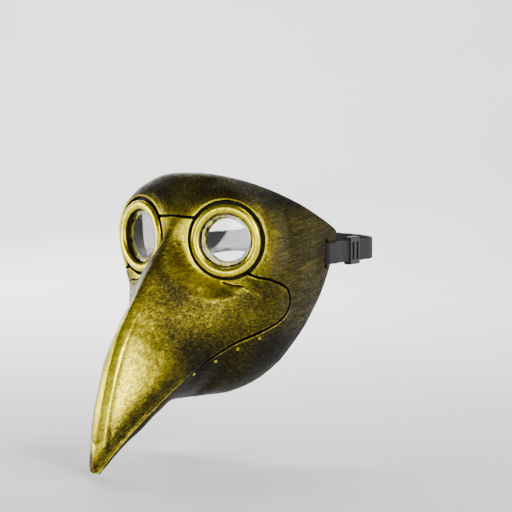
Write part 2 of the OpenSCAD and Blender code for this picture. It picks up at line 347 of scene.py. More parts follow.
def tube(rings, around, start=0, closed=False):
    """Faces between successive rings of points. A closed tube's last ring meets its first."""
    return [(start + k * around + i, start + k * around + (i + 1) % around,
             start + (k + 1) % rings * around + (i + 1) % around, start + (k + 1) % rings * around + i)
            for k in range(rings if closed else rings - 1) for i in range(around)]


def ends(rings, around, start=0):
    """Faces that close a tube's two ends."""
    last = start + (rings - 1) * around
    return [tuple(range(start + around - 1, start - 1, -1)), tuple(range(last, last + around))]


def roll(t, a, faces, reach, rows):
    """Carries the open edges on along the surface, except the back edge. reach(p) is how far, rows the
    shares of that. Returns points, normals, faces, each point's share and the edge point it came from."""
    p, n = surface(t, a), normal(t, a)
    after = {i: j for i, j in edge_loops(faces) if t[i] > 0.001 and t[j] > 0.001}
    before = {j: i for i, j in after.items()}
    edge = np.array(sorted(set(after) & set(before)))
    slot = {v: k for k, v in enumerate(edge)}
    nxt = np.array([slot.get(after[v], slot[v]) for v in edge])
    prv = np.array([slot.get(before[v], slot[v]) for v in edge])
    q = p[edge]
    for _ in range(6):
        q = (q[nxt] + q[prv] + 2 * q) / 4
    out = np.cross(q[nxt[nxt]] - q[prv[prv]], n[edge])
    out /= np.maximum(norm(out, axis=1), 1e-9)[:, None]
    for _ in range(2):
        out = out[nxt] + out[prv] + 2 * out
        out /= np.maximum(norm(out, axis=1), 1e-9)[:, None]
    far = reach(p[edge])[:, None]
    size = len(p)
    points, normals, share, source = [p], [n], [np.zeros(size)], [np.arange(size)]
    last = edge
    faces = list(faces)
    for r in rows:
        points.append(p[edge] + out * far * r)
        normals.append(n[edge])
        share.append(np.full(len(edge), float(r)))
        source.append(edge)
        new = np.arange(size, size + len(edge))
        faces += [(last[nxt[k]], last[k], new[k], new[nxt[k]])
                  for k in range(len(edge)) if after[edge[k]] in slot]
        size += len(edge)
        last = new
    return np.vstack(points), np.vstack(normals), faces, np.concatenate(share), np.concatenate(source)


def goggle_frame(side):
    """From a goggle's own axes, +Z outwards, to the mask's."""
    return (Matrix.Translation(Vector(GOGGLE * [side, 1, 1])) @ Matrix.Rotation(side * TURN, 4, "Z")
            @ Matrix.Rotation(pi / 2, 4, "X"))


def turns(count):
    """Even angles round a circle."""
    return np.linspace(0, 2 * pi, count, endpoint=False)


def lathe(profile, steps, wobble=0.0, seed=1):
    """Closed outline of (radius, height) points turned about an axis, uneven by wobble millimetres."""
    prof = np.asarray(profile, float)
    pts = np.array([[r * cos(g), r * sin(g), z] for g in turns(steps) for r, z in prof])
    if wobble:
        pts[:, 2] += wobble * ripple(pts, 9, seed)
    return pts, [(a, d, c, b) for a, b, c, d in tube(steps, len(prof), closed=True)]


def placed(points, side):
    """Points given on a goggle's own axes, on the mask."""
    return np.array([goggle_frame(side) @ Vector(p) for p in points])


def arc(cx, cz, rx, rz, a0, a1, n):
    """Points of an elliptical arc, in degrees."""
    return [(cx + rx * cos(g), cz + rz * sin(g)) for g in np.radians(np.linspace(a0, a1, n))]


# ---- materials

class Paint:
    """A Principled material whose nodes are added by name."""

    def __init__(self, name, **uniform):
        self.mat = bpy.data.materials.new(name)
        self.mat.use_nodes = True
        self.tree = self.mat.node_tree
        self.shader = self.tree.nodes["Principled BSDF"]
        for key, value in uniform.items():
            self.shader.inputs[key.replace("_", " ")].default_value = value

    def add(self, kind, inputs=(), **options):
        node = self.tree.nodes.new("ShaderNode" + kind)
        for key, value in options.items():
            setattr(node, key, value)
        for key, value in dict(inputs).items():
            self.feed(node.inputs[key], value)
        return node

    def feed(self, socket, value):
        if isinstance(value, bpy.types.NodeSocket):
            self.tree.links.new(value, socket)
        else:
            socket.default_value = value

    def attribute(self, name, vector=False):
        return self.add("Attribute", attribute_name=name).outputs["Vector" if vector else "Fac"]

    def place(self):
        return self.add("TexCoord").outputs["Object"]

    def math(self, op, a, b=0.0, clamp=False):
        return self.add("Math", {0: a, 1: b}, operation=op, use_clamp=clamp).outputs[0]

    def span(self, value, lo, hi, to_lo=0.0, to_hi=1.0):
        """Eases from to_lo to to_hi as the value goes from lo to hi."""
        values = {"Value": value, "From Min": lo, "From Max": hi, "To Min": to_lo, "To Max": to_hi}
        return self.add("MapRange", values, interpolation_type="SMOOTHSTEP").outputs["Result"]

    def cells(self, scale):
        """Distance from the middle of the nearest cell."""
        return self.add("TexVoronoi", {"Vector": self.place(), "Scale": scale}).outputs["Distance"]

    def noise(self, coords, scale, detail, rough, stretch=(1, 1, 1), turn=(0, 0, 0), warp=0.0):
        if stretch != (1, 1, 1) or turn != (0, 0, 0):
            mapped = self.add("Mapping", {"Vector": coords, "Scale": stretch, "Rotation": turn})
            coords = mapped.outputs[0]
        return self.add("TexNoise", {"Vector": coords, "Scale": scale, "Detail": detail,
                                     "Roughness": rough, "Distortion": warp}).outputs["Fac"]

    def ramp(self, value, stops):
        node = self.add("ValToRGB", {"Fac": value})
        ramp = node.color_ramp
        while len(ramp.elements) < len(stops):
            ramp.elements.new(0.5)
        for element, (at, colour) in zip(ramp.elements, stops):
            element.position, element.color = at, (*colour, 1)
        return node.outputs["Color"]

    def blend(self, factor, a, b):
        return self.add("Mix", {0: factor, 6: a, 7: b}, data_type="RGBA").outputs[2]

    def total(self, *terms):
        """Sum of (value, weight) pairs."""
        value = None
        for v, weight in terms:
            v = self.math("MULTIPLY", v, weight)
            value = v if value is None else self.math("ADD", value, v)
        return value

    def bump(self, height, depth):
        """Bump from a height of 0 to 1 that stands for that depth in metres."""
        return self.add("Bump", {"Height": height, "Strength": 1.0, "Distance": depth}).outputs[0]

    def finish(self, **sockets):
        """Connects the shader's inputs and gives the material."""
        for key, value in sockets.items():
            self.feed(self.shader.inputs[key.replace("_", " ")], value)
        return self.mat


# Colours of the gilding from bare black to full gold.
GOLD = [(0.0, (0.003, 0.0025, 0.001)), (0.22, (0.024, 0.019, 0.003)), (0.42, (0.092, 0.074, 0.008)),
        (0.60, (0.26, 0.205, 0.011)), (0.80, (0.64, 0.525, 0.014)), (1.0, (1.0, 0.88, 0.030))]


def antique_gold(name):
    """Gold dry-brushed over black. Of its attributes, tone is how much gold is left and carries painted
    highlight and shade, groove the distance from a groove, which stays black, rub the gold beside it,
    and flow the brush's way."""
    m = Paint(name, Specular_IOR_Level=0.08)
    flow, place, tone = m.attribute("flow", True), m.place(), m.attribute("tone")
    cloud = m.noise(place, 30, 3, 0.5)
    patch = m.noise(place, 190, 6, 0.70, warp=0.6)
    streak = m.noise(flow, 640, 5, 0.66, stretch=(0.07, 1, 1), turn=(0, 0, 0.16), warp=0.25)
    grit = m.noise(place, 1300, 3, 0.65)
    # The sum below holds the wear and, through tone, the painted highlight and shade.
    gilt = m.total((tone, 1.0), (cloud, 0.45), (patch, 0.45), (streak, 0.85), (grit, 0.75))
    gilt = m.math("SUBTRACT", gilt, 1.25, clamp=True)
    bare = m.total((m.noise(place, 640, 3, 0.6, warp=0.5), 0.75), (grit, 0.35), (tone, -0.10))
    specks = m.math("MULTIPLY", m.span(bare, 0.56, 0.62), m.span(patch, 0.40, 0.56))
    scratch = m.noise(flow, 620, 2, 0.4, stretch=(0.03, 1, 1), turn=(0, 0, -0.5))
    scratch = m.span(m.math("ABSOLUTE", m.math("SUBTRACT", scratch, 0.62)), 0.0, 0.012, 1, 0)
    scratch = m.math("MULTIPLY", scratch, m.span(cloud, 0.45, 0.6))
    ragged = m.total((m.attribute("groove"), 1.0), (patch, 1.1), (grit, 0.8))
    dark = m.span(ragged, 1.35, 1.95, 1, 0)
    rubbed = m.math("MULTIPLY", m.span(ragged, 1.9, 2.3), m.span(ragged, 2.5, 3.3, 1, 0))
    gilt = m.math("ADD", gilt, m.math("MULTIPLY", rubbed, m.attribute("rub")), clamp=True)
    gilt = m.math("SUBTRACT", gilt, m.total((specks, 0.62), (scratch, 0.3), (dark, 1.2)), clamp=True)
    height = m.total((gilt, 0.5), (streak, 0.35), (grit, 0.45), (dark, -0.6))
    return m.finish(Base_Color=m.ramp(gilt, GOLD), Metallic=m.span(gilt, 0.05, 0.45, 0.3, 1.0),
                    Roughness=m.span(m.total((gilt, 0.7), (grit, 0.3)), 0.05, 0.85, 0.55, 0.30),
                    Normal=m.bump(height, 0.00022))


def ring_gold(name):
    """Smoother gold of the goggles, worn to dark in the hollows."""
    m = Paint(name, Specular_IOR_Level=0.2)
    place, tone = m.place(), m.attribute("tone")
    patch = m.noise(place, 260, 5, 0.6)
    fleck = m.noise(place, 1100, 3, 0.6)
    chips = m.span(m.noise(place, 290, 5, 0.68, warp=0.9), 0.50, 0.55)
    gilt = m.math("SUBTRACT", m.total((tone, 1.0), (patch, 0.45), (fleck, 0.35)), 0.40, clamp=True)
    gilt = m.math("SUBTRACT", gilt, m.math("MULTIPLY", chips, m.attribute("chip")), clamp=True)
    return m.finish(Base_Color=m.ramp(gilt, GOLD), Metallic=m.span(gilt, 0.1, 0.5, 0.2, 1.0),
                    Roughness=m.span(gilt, 0.1, 0.9, 0.55, 0.26),
                    Normal=m.bump(m.total((patch, 0.5), (fleck, 0.3), (gilt, 0.6)), 0.00012))


def lens_glass():
    """Clear plastic lens with smears and dust."""
    m = Paint("lens_clear", Transmission_Weight=1.0, IOR=1.49, Coat_Weight=0.0)
    smear = m.noise(m.place(), 60, 4, 0.6, stretch=(1, 1, 0.3))
    dust = m.span(m.noise(m.place(), 1500, 1, 0.5), 0.74, 0.8)
    return m.finish(Base_Color=m.ramp(smear, [(0.3, (0.94, 0.955, 0.95)), (0.7, (0.88, 0.90, 0.89))]),
                    Roughness=m.total((smear, 0.06), (dust, 0.2)))


def dark_metal(name):
    """Blackened nut with gold dust rubbed on its corners."""
    m = Paint(name, Specular_IOR_Level=0.5)
    patch, fleck = m.noise(m.place(), 240, 5, 0.65), m.noise(m.place(), 1400, 2, 0.5)
    rub = m.span(m.total((patch, 0.7), (fleck, 0.3)), 0.5, 0.72)
    stops = [(0, (0.012, 0.010, 0.006)), (0.5, (0.05, 0.038, 0.01)), (1, (0.30, 0.22, 0.03))]
    return m.finish(Base_Color=m.ramp(rub, stops), Metallic=m.span(rub, 0, 1, 0.5, 0.9),
                    Roughness=m.span(patch, 0.2, 0.8, 0.62, 0.4),
                    Normal=m.bump(m.total((patch, 0.6), (fleck, 0.4)), 0.00015))


def moulded_plastic(name):
    """Black plastic with a fine moulded grain."""
    m = Paint(name, Specular_IOR_Level=0.5)
    grain, haze = m.cells(1500.0), m.noise(m.place(), 180, 4, 0.6)
    stops = [(0.3, (0.008, 0.008, 0.009)), (0.75, (0.022, 0.022, 0.023))]
    return m.finish(Base_Color=m.ramp(haze, stops), Roughness=m.span(haze, 0.25, 0.75, 0.36, 0.5),
                    Normal=m.bump(grain, 0.00005))


def foam(name):
    """Open-cell foam: round pores of two sizes."""
    m = Paint(name, Specular_IOR_Level=0.2)
    pore, fine = m.cells(620.0), m.cells(1500.0)
    soil = m.noise(m.place(), 70, 3, 0.5)
    wall = m.total((pore, 0.8), (fine, 0.5))
    clean = m.ramp(wall, [(0.15, (0.006, 0.006, 0.006)), (0.8, (0.045, 0.044, 0.042))])
    soiled = m.ramp(wall, [(0.15, (0.010, 0.009, 0.008)), (0.8, (0.060, 0.057, 0.052))])
    return m.finish(Base_Color=m.blend(m.span(soil, 0.3, 0.7), clean, soiled),
                    Roughness=m.span(pore, 0, 1, 0.8, 0.98), Normal=m.bump(wall, 0.0005))


def webbing(name):
    """Plain weave along the band's own length and width, which the weave attribute gives in metres."""
    m = Paint(name, Specular_IOR_Level=0.25, Sheen_Weight=0.08, Sheen_Roughness=0.5)
    weave = m.add("SeparateXYZ", {0: m.attribute("weave", True)})
    along, across = weave.outputs[0], weave.outputs[1]
    pick, rib = 0.00085, 0.0011
    shift = m.math("MULTIPLY", m.math("FLOOR", m.math("DIVIDE", across, rib)), 0.5)
    u = m.math("PINGPONG", m.math("ADD", m.math("DIVIDE", along, pick), shift), 0.5)
    v = m.math("PINGPONG", m.math("DIVIDE", across, rib), 0.5)
    yarn = m.math("MULTIPLY", m.span(u, 0.02, 0.4), m.span(v, 0.02, 0.35))
    fuzz, dust = m.noise(m.place(), 2600, 2, 0.6), m.noise(m.place(), 90, 4, 0.6)
    value = m.total((yarn, 0.75), (fuzz, 0.3), (dust, 0.25))
    stops = [(0.15, (0.002, 0.002, 0.002)), (0.7, (0.012, 0.012, 0.013)), (1.0, (0.040, 0.040, 0.042))]
    return m.finish(Base_Color=m.ramp(value, stops), Roughness=m.span(yarn, 0, 1, 0.95, 0.7),
                    Normal=m.bump(m.total((yarn, 1.0), (fuzz, 0.2)), 0.0003))


def thread(name):
    m = Paint(name, Specular_IOR_Level=0.4, Sheen_Weight=0.2)
    wave = m.add("TexWave", {"Vector": m.place(), "Scale": 900.0, "Distortion": 1.5},
                 bands_direction="DIAGONAL")
    twist = wave.outputs["Fac"]
    return m.finish(Base_Color=m.ramp(twist, [(0.2, (0.05, 0.05, 0.046)), (0.8, (0.20, 0.20, 0.185))]),
                    Roughness=m.span(twist, 0, 1, 0.8, 0.6), Normal=m.bump(twist, 0.0001))


def pale_floor():
    m = Paint("pale_floor", Specular_IOR_Level=0.3)
    grain = m.noise(m.place(), 3, 5, 0.6)
    return m.finish(Base_Color=m.ramp(grain, [(0.3, (0.78, 0.78, 0.775)), (0.7, (0.84, 0.84, 0.835))]),
                    Roughness=m.span(grain, 0.2, 0.8, 0.6, 0.75))


# ---- the two moulded skins

def mask_grid():
    """Stations, angles and lengths of an even grid from the back edge to the tip."""
    k = np.linspace(0, LAST, 401)
    lines = [surface(k, np.full(k.size, g)) for g in (0.0, pi / 2, -pi / 4)]
    step = np.max([norm(np.diff(line, axis=0), axis=1) for line in lines], 0)
    length = np.concatenate([[0], np.cumsum(step)])
    rows = np.interp(np.linspace(0, length[-1], GRID_ROWS), length, k)
    rows = np.concatenate([rows, LAST + TIP_ROWS])
    angles = np.linspace(-pi / 2, 1.5 * pi, GRID_AROUND, endpoint=False)
    t, a = np.meshgrid(rows, angles, indexing="ij")
    return t, a, np.interp(rows, k, length)


def flow_of(p, t, grid):
    """Length along the mask, sideways place and height, in metres: the brush strokes follow it."""
    rows, _, length = grid
    q, n, _ = section(t)
    up = (p[:, 1] - q[:, 2]) * n[:, 0] + (p[:, 2] - q[:, 3]) * n[:, 1]
    return np.stack([np.interp(t, rows[:, 0], length), p[:, 0], up], 1) * MM


def slot_distance(p):
    """Distance outside the strap slot in an ear tab, large away from the tabs."""
    half = (SLOT_H - SLOT_W) / 2
    z = p[:, 2] - STRAP_Z
    d = np.hypot(p[:, 1] - SLOT_Y, z - np.clip(z, -half, half)) - SLOT_W / 2
    return np.where(np.abs(p[:, 0]) > 60, d, 99.0)


def vent_distance(p):
    """Distance outside the nearest breathing hole."""
    q = np.array(VENTS, float)
    spots = surface(q[:, 0], np.radians(q[:, 1]))
    return np.min([norm(folded(p) - s, axis=1) for s in spots], 0) - VENT_R


def gold_and_painted_light(p, t, a, seam, ring, on_panel):
    """How much gold the finish keeps, from 0 to 1, with painted highlight and painted shade mixed in."""
    x, y, z = np.abs(p[:, 0]), p[:, 1], p[:, 2]
    beak, nose = ease((t - 5.6) / 1.6), ease((52 - x) / 24)
    tone = 0.44 + bell(ring - 34, 4.5) * (0.10 + 0.22 * nose)
    # Painted highlight between the brows; painted shade on the forehead, under the jaw and towards the
    # ears.
    tone += 0.20 * bell(x, 13) * bell(z - 22, 10) - 0.26 * ease((z - 24) / 16) * (1 - 0.4 * bell(x, 14))
    tone -= 0.32 * ease((-54 - z) / 44) * (1 - beak)
    tone -= 0.17 * ease((y + 92) / 45)
    # Painted shade: the shell's part under the beak, which faces down, is darker.
    if not on_panel:
        return np.clip(tone - 0.26 * ease((t - 4.6) / 1), 0, 1)
    # Brighter on the beak, in part a painted highlight; darker at its lower edge, patina and painted shade;
    # bright beside the crease and on the crest.
    crease, at = line_distance(p, CREASE)
    low, top = ease((t - 5.4) / 1.2), np.sin(a) > 0.3
    tone += 0.29 * beak - 0.42 * low * bell(seam - 8, 8) * ease((t - 6) / 1)
    tone += 0.26 * bell(crease - 3.6, 2.6) * (1 - 0.8 * at) - 0.16 * bell(crease - 5, 7) * at
    tone += 0.16 * beak * bell(x, 6.5) * top
    ridge = 0.18 * bell(x - 5.6, 1.1) - 0.20 * bell(x - 7.6, 0.9)
    tone += ease((t - 6.4) / 1) * ease((9.8 - t) / 0.7) * ridge * top
    # A painted highlight arc and a painted shade arc below the goggles, and a worn tip.
    tone += (0.20 * bell(ring - 42, 6) - 0.12 * bell(ring - 54, 5)) * ease((-12 - z) / 15) * nose
    return np.clip(tone - 0.12 * ease((t - 9.1) / 0.8), 0, 1)


def groove_of(p, seam, ring, on_panel):
    """Distance in millimetres from the middle of the nearest groove or crease, as the finish needs it."""
    far = np.full(len(p), 9.0)
    if on_panel:
        crease, at = line_distance(p, CREASE)
        return np.min([seam - PANEL_EDGE + 0.3, ring - PANEL_RING + 0.3, crease + 0.9 * at**3, far], 0)
    return np.min([SHELL_EDGE - seam + 0.45, ring - SHELL_RING + 0.45, far], 0)


def bank_height(t, seam, ring):
    """How far the shell swells up beside the groove and round the goggles."""
    beside = np.exp(-np.maximum(SHELL_EDGE - seam, 0) / 6)
    return 1.3 * beside * ease((6 - t) / 2) * ease((ring - 31) / 5) + bell(ring - 34.4, 1.8) * (t > 2)


def shell_wave(p):
    """The shell's slight unevenness, coarse and fine."""
    return 0.22 * ripple(p, 26, 3) + 0.10 * ripple(p, 8, 4)


def on_beak(t):
    """0 on the cheeks, 1 on the beak."""
    return ease((t - 5.2) / 1.6)


def at_hole(p):
    """Whether a place is on the edge of a strap slot or a breathing hole."""
    return np.minimum(slot_distance(p), vent_distance(p)) < 0.4


def lap_of(p):
    """How far the shell's edge carries on under its neighbour."""
    return np.where(at_hole(p), HOLE_LAP, np.where(p[:, 2] < TIP_BELOW, TIP_LAP, LAP))


def round_of(p):
    """How far the panel's rounded edge reaches."""
    return np.full(len(p), ROUND_W)


def moulded():
    """Face shell and beak panel. Both follow one surface; a groove runs between them."""
    grid = mask_grid()
    t, a = grid[0].ravel(), grid[1].ravel()
    p = surface(t, a)
    seam, ring = distances(t, a, p)
    gold = antique_gold("antique_gold_paint")
    face_shell(grid, p, seam, ring, gold)
    beak_panel(grid, seam, ring, gold)


def skin(grid, field, reach, shares):
    """Cuts a skin from the grid and carries its edge on. Returns what shape and finish need."""
    t, a, faces = clip_grid(grid[0], grid[1], field.reshape(grid[0].shape))
    q, n, faces, share, source = roll(t, a, faces, reach, shares)
    t, a = t[source], a[source]
    base = surface(t, a)
    return q, n, faces, share, t, a, base, *distances(t, a, base)


def face_shell(grid, p, seam, ring, gold):
    """Ends in a rolled bank beside the groove, then laps under the panel and the goggle rims."""
    field = np.min([SHELL_EDGE - seam, ring - SHELL_RING, slot_distance(p), vent_distance(p)], 0)
    q, n, faces, share, t, a, base, seam, ring = skin(grid, field, lap_of, LAP_SHARES)
    hole = at_hole(base)
    drop = np.interp(share, [0] + LAP_SHARES, [0] + LAP_DROPS)
    drop = np.where(hole, 0.3 * (1 - quarter(share)), drop)
    # The back edge is rounded on both faces.
    soft = SOFT_EDGE * (1 - quarter(1 - np.clip(edge_length(t, a) / SOFT_EDGE, 0, 1)))
    outer = q + n * (bank_height(t, seam, ring) - drop + shell_wave(base) - soft)[:, None]
    # The wall thins towards the narrow tip.
    wall = SHELL_T * np.clip(section(t)[0][:, 4] / 9, 0.1, 1)
    inner = q - n * (wall + 0.9 * (drop > 0.5) * (~hole) - soft)[:, None]
    pts, faces = thick(outer, inner, faces)
    below = ease((drop - 0.1) / 0.4)
    tone = gold_and_painted_light(base, t, a, seam, ring, False) - 0.9 * below
    groove = groove_of(base, seam, ring, False) * (1 - below)
    lower = ease((-48 - base[:, 2]) / 14)
    rub = np.where(ring < SHELL_RING + 3, 0.40, 0.06 + 0.42 * lower * ease((5.0 - t) / 0.6))
    finish_on(("face_skin", "face_shell", "shell_gold"), pts, faces, gold, tone, groove, rub,
              flow_of(base, t, grid))


def beak_panel(grid, seam, ring, gold):
    """Stands proud of the shell, with a rounded edge."""
    field = np.minimum(seam - PANEL_EDGE, ring - PANEL_RING) - ROUND_W
    q, n, faces, share, t, a, base, seam, ring = skin(grid, field, round_of, ROUND_SHARES)
    height = panel_height(base, t, a, seam, ring)
    outer = q + n * (PANEL_LIFT + (height - PANEL_LIFT) * quarter(share))[:, None]
    pts, faces = thick(outer, q + n * PANEL_LIFT, faces)
    tone = gold_and_painted_light(base, t, a, seam, ring, True) - 0.8 * ease((share - 0.65) / 0.3)
    groove = groove_of(base, seam, ring, True) * (1 - ease((share - 0.6) / 0.3))
    finish_on(("beak_skin", "beak_panel", "panel_gold"), pts, faces, gold, tone, groove,
              0.16 + 0.20 * on_beak(t), flow_of(base, t, grid))


def panel_height(p, t, a, seam, ring):
    """Its thickness with the lip, the crease, the flattened crest, waves and one stray bump."""
    inside = np.minimum(seam - PANEL_EDGE, ring - PANEL_RING)
    lip = (0.15 + 0.85 * ease((t - 4.8) / 1.5)) * bell(inside - 1.5, 1.3)
    lip -= 0.5 * ease((5.4 - t) / 1.0) * np.exp(-np.maximum(inside, 0) / 4)
    crease, at = line_distance(p, CREASE)
    fold = -1.1 * bell(crease, 0.9) * (1 - 0.7 * at) + 0.5 * bell(crease - 3.0, 2.0) * (1 - at)
    x, top = np.abs(p[:, 0]), np.sin(a) > 0.3
    crest = on_beak(t) * top * (-0.6 * np.clip(1 - (x / 5.5) ** 2, 0, 1) - 0.28 * bell(x - 6.1, 0.8))
    wave = 0.28 * ripple(p, 26, 5) + 0.10 * ripple(p, 8, 6)
    spot = surface(np.array([5.0]), np.radians([75.0]))
    return PANEL_T + lip + fold + crest + wave + 0.7 * bell(norm(p - spot, axis=1), 1.1)


def finish_on(names, points, faces, mat, tone, groove, rub, flow):
    """Makes a skin whose outer layer has the worked finish, painted highlight and shade included, and whose
    inner layer is plain dark paint.
    """
    name, node, slot = names
    inner = np.full(len(tone), 0.22)
    values = {"tone": np.concatenate([np.clip(tone, 0, 1), inner]),
              "groove": np.concatenate([groove, 9 + inner]),
              "rub": np.concatenate([rub, 0 * inner]), "flow": np.tile(flow, (2, 1))}
    make(name, points, faces, "mask", node, mat, 62, values)


def distances(t, a, p, near_by=12):
    """Distance to the seam, along the surface where it is near, and to the nearer goggle's axis."""
    seam = side_distance(p)
    near = np.abs(seam) < near_by
    seam[near] = along_surface(seam[near], t[near], a[near], side_distance)
    return seam, ring_distance(p)


def edge_length(t, a):
    """Distance from the back edge."""
    return norm(surface(t, a) - surface(0 * t, a), axis=1)


# ---- goggles

# Profiles are (radius, height) points on a goggle's axis; height is zero on the face, positive outwards.
BARREL_BACK, SEAT_BACK, BEAD_MID, BEAD_RISE, LIP_BACK = -9, -7, 1.5, 2.7, -0.7
RING_STEPS, LENS_STEPS = 160, 128


def rim_profile():
    """Barrel with the sleeve for the lens stack, a round bead, and the lip over the lens's edge."""
    mid, half = (RIM_R + EYE_R) / 2, (RIM_R - EYE_R) / 2
    barrel = [(SLEEVE_R, BARREL_BACK), (BARREL_R, BARREL_BACK), (BARREL_R, 0)]
    foot = [(RIM_R - 0.3, 0), (RIM_R, 0.3)]
    lip = [(EYE_R, -0.5), (EYE_R + 0.2, LIP_BACK), (SLEEVE_R, LIP_BACK), (SLEEVE_R, -2)]
    return barrel + foot + arc(mid, BEAD_MID, half, BEAD_RISE, 0, 180, 28)[1:] + lip


def seat_profile():
    """Ring the lens rests on, from the sleeve in to the sight, with a round inner edge."""
    back = [(SIGHT_R, SEAT_BACK), (SLEEVE_R - 0.05, SEAT_BACK)]
    front = [(SLEEVE_R - 0.05, -2.62), (23.2, -2.66), (21, -2.62), (19.2, -2.70)]
    return back + front + arc(SIGHT_R + 1.0, -3.7, 1.0, 1.0, 90, 180, 6)


def lens_profile():
    """Domed lens, slightly hollow behind."""
    back = [(0.05, -1.9), (8, -1.99), (15, -2.25), (LENS_R - 0.3, -2.5)]
    edge = [(LENS_R, -2.3), (LENS_R, -1.6), (LENS_R - 0.4, -1.25)]
    front = [(r, -1.2 + 0.85 * (1 - (r / LENS_R) ** 2)) for r in (20, 17, 14, 11, 8, 5, 2.5, 0.05)]
    return back + edge + front


# The lens's gasket, and the ring of the shell below a rim.
GASKET = [(22.35, -2.58), (24.5, -2.58), (24.5, -1.3), (24.2, -1.05), (23.4, -0.92), (22.6, -0.88),
          (22.35, -1.05)]
BOSS = [(26.25, -3.2), (35, -3.2), (35, -2.1), (33.5, -1.95), (31.5, -1.9), (26.25, -1.9)]


def rim_tone(r, z):
    return 0.35 + 0.55 * ease((z - 0.4) / 1.4) - 0.55 * ease((EYE_R + 0.25 - r) / 0.2)


def seat_tone(r, z):
    return 0.68 - 0.5 * ease((r - 21.9) / 0.5) - 0.3 * ease((18.4 - r) / 0.7) - 0.5 * (z < -4)


def gasket_tone(r, z):
    return 0.30 - 0.3 * ease((r - 22.6) / 0.4)


def boss_tone(r, z):
    return 0.02 + 0.16 * bell(r - 31.9, 0.5)


def ring_piece(names, side, profile, wobble, seed, mat, tone, chip):
    """A turned ring. tone(radius, height) is how much gold it keeps, chip how chipped its paint is."""
    name, node, slot = names
    pts, faces = lathe(profile, RING_STEPS, wobble, seed + side)
    gold = np.clip(tone(np.hypot(pts[:, 0], pts[:, 1]), pts[:, 2]), 0, 1)
    make(name, placed(pts, side), faces, "mask", node, mat, 60,
         {"tone": gold, "chip": np.full(len(pts), chip)})


def goggles():
    """Each side's rim, seat, lens and gasket, the shell's ring under the rim, and the nut."""
    rim, seat = ring_gold("goggle_rim_gold"), ring_gold("lens_seat_gold")
    glass, smeared, nut = lens_glass(), ring_gold("gasket_overspray"), dark_metal("nut_metal")
    for side, word in ((1, "left"), (-1, "right")):
        ring_piece((f"rim_{word}", f"goggle_rim_{word}", "rim_gold"), side, rim_profile(), 0.07, 7,
                   rim, rim_tone, 0.12)
        ring_piece((f"seat_{word}", f"lens_seat_{word}", "seat_gold"), side, seat_profile(), 0.12, 21,
                   seat, seat_tone, 1.1)
        pts, faces = lathe(lens_profile(), LENS_STEPS)
        make(f"glass_{word}", placed(pts, side), faces, "mask", f"lens_{word}", glass, 35)
        ring_piece((f"gasket_{word}", f"lens_gasket_{word}", "gasket_black"), side, GASKET, 0.10, 31,
                   smeared, gasket_tone, 1.0)
        ring_piece((f"boss_{word}", None, "shell_gold"), side, BOSS, 0.12, 41, rim, boss_tone, 0.3)
        carried(f"goggle_nut_{word}", nut, 0.15)


def carried(node, mat, bevel):
    """A CAD node that stays, with a finish and edges broken by that many millimetres."""
    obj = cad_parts[node]
    obj.data.materials.clear()
    obj.data.materials.append(mat)
    mod = obj.modifiers.new("broken_edges", "BEVEL")
    mod.width, mod.segments = bevel * MM, 2
    mod.limit_method, mod.angle_limit = "ANGLE", radians(40)


# ---- soft parts and strap

# Each pad's node, its first and last station, its first and last angle in degrees, and its side.
PADS = [("forehead_pad", 0.4, 2.7, 60, 120, 1), ("cheek_pad_left", 0.9, 2.6, -42, -12, 1),
        ("cheek_pad_right", 0.9, 2.6, -42, -12, -1), ("chin_pad", 0.5, 2.6, -112, -68, 1)]
PAD_ROWS, PAD_COLS, PAD_T, PAD_GAP, PAD_SKIN = 60, 84, 7.6, 0.5, 0.25


def pads():
    """Foam pads that follow the inside of the shell, crowned, with rounded sides."""
    mat = foam("pad_foam")
    depth = SHELL_T + PAD_GAP
    u, v = np.meshgrid(np.linspace(-1, 1, PAD_ROWS), np.linspace(-1, 1, PAD_COLS), indexing="ij")
    u, v = u.ravel(), v.ravel()
    ids = np.arange(PAD_ROWS * PAD_COLS).reshape(PAD_ROWS, PAD_COLS)
    quads = np.stack([ids[:-1, :-1], ids[:-1, 1:], ids[1:, 1:], ids[1:, :-1]], -1).reshape(-1, 4).tolist()
    rim = np.clip(1 - np.maximum(np.abs(u), np.abs(v)), 0, 1)
    crown = PAD_SKIN + PAD_T * (1 - (1 - np.clip(rim / 0.22, 0, 1)) ** 2.6) ** 0.5 * (0.90 + 0.10 * rim)
    for node, t0, t1, a0, a1, side in PADS:
        # The corners are pulled in, so that they are round.
        t = (t0 + t1) / 2 + (t1 - t0) / 2 * u * np.sqrt(1 - 0.28 * v**2)
        a = np.radians((a0 + a1) / 2 + (a1 - a0) / 2 * v * np.sqrt(1 - 0.28 * u**2))
        p, n = surface(t, a), normal(t, a)
        thickness = crown + 0.10 * ripple(p, 4, 9) * (rim > 0)
        pts, faces = thick(p - n * depth, p - n * (depth + thickness)[:, None], [tuple(f) for f in quads])
        if side < 0:
            faces = [f[::-1] for f in faces]
        obj = make(f"foam_{node}", pts * [side, 1, 1], faces, "mask", node, mat, 70)


# The strap's straight runs are at RUN_X; the nape's bend starts at NAPE_Y and reaches back to STRAP_BACK.
RUN_X, STRAP_W, STRAP_T, RIB_W = 75.4, 18.0, 1.6, 1.1
NAPE_Y, STRAP_BACK = 62, 105.0
LAYER = STRAP_T + 0.25


